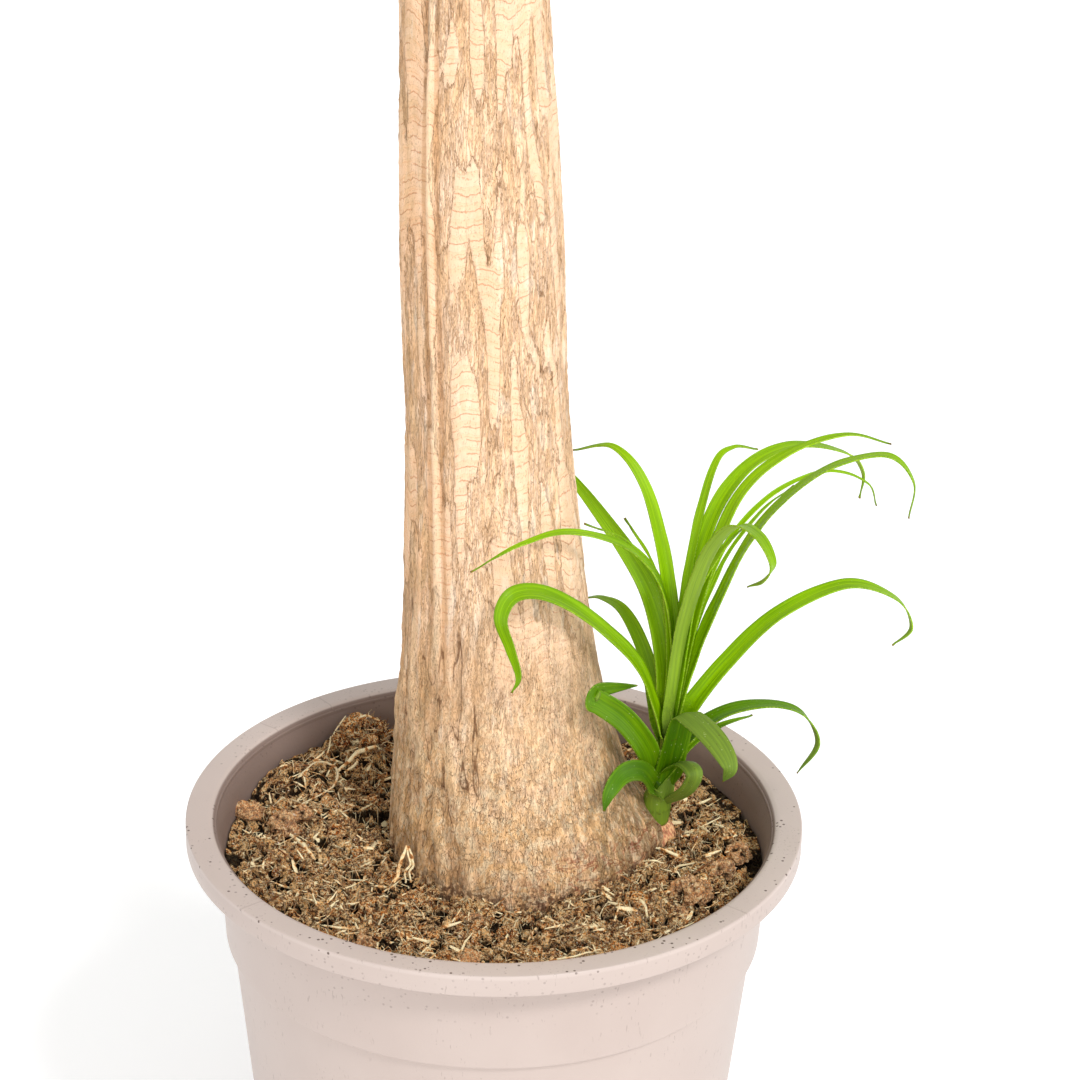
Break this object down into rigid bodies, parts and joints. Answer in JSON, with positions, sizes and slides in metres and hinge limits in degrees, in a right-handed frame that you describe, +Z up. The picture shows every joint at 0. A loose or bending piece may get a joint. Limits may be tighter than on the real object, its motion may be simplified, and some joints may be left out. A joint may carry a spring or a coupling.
{
  "type": "potted ponytail palm",
  "caption": "Potted ponytail palm: tall corky trunk with a swollen foot, a fountain of narrow arching leaves on top and a young side shoot, in soil in a rimmed plastic pot.",
  "frame": {"origin": "centre of the pot's flat underside, on the floor", "axes": "+Z up along the pot's axis, -Y towards the side that the picture shows, +X towards the side shoot"},
  "size_m": [0.8778, 0.8777, 1.2965],
  "materials": {
    "pot_plastic": "satin moulded, with fine speckle",
    "potting_soil": "rough and fibrous",
    "bark": "dry cork with fine upright fissures",
    "young_leaf": "satin, finely veined",
    "crown_leaf": "satin, finely veined"
  },
  "bodies": {
    "root": {"pot": "pot_plastic", "soil": "potting_soil", "trunk": "bark", "side_shoot": "young_leaf", "crown": "crown_leaf"}
  },
  "joints": []
}
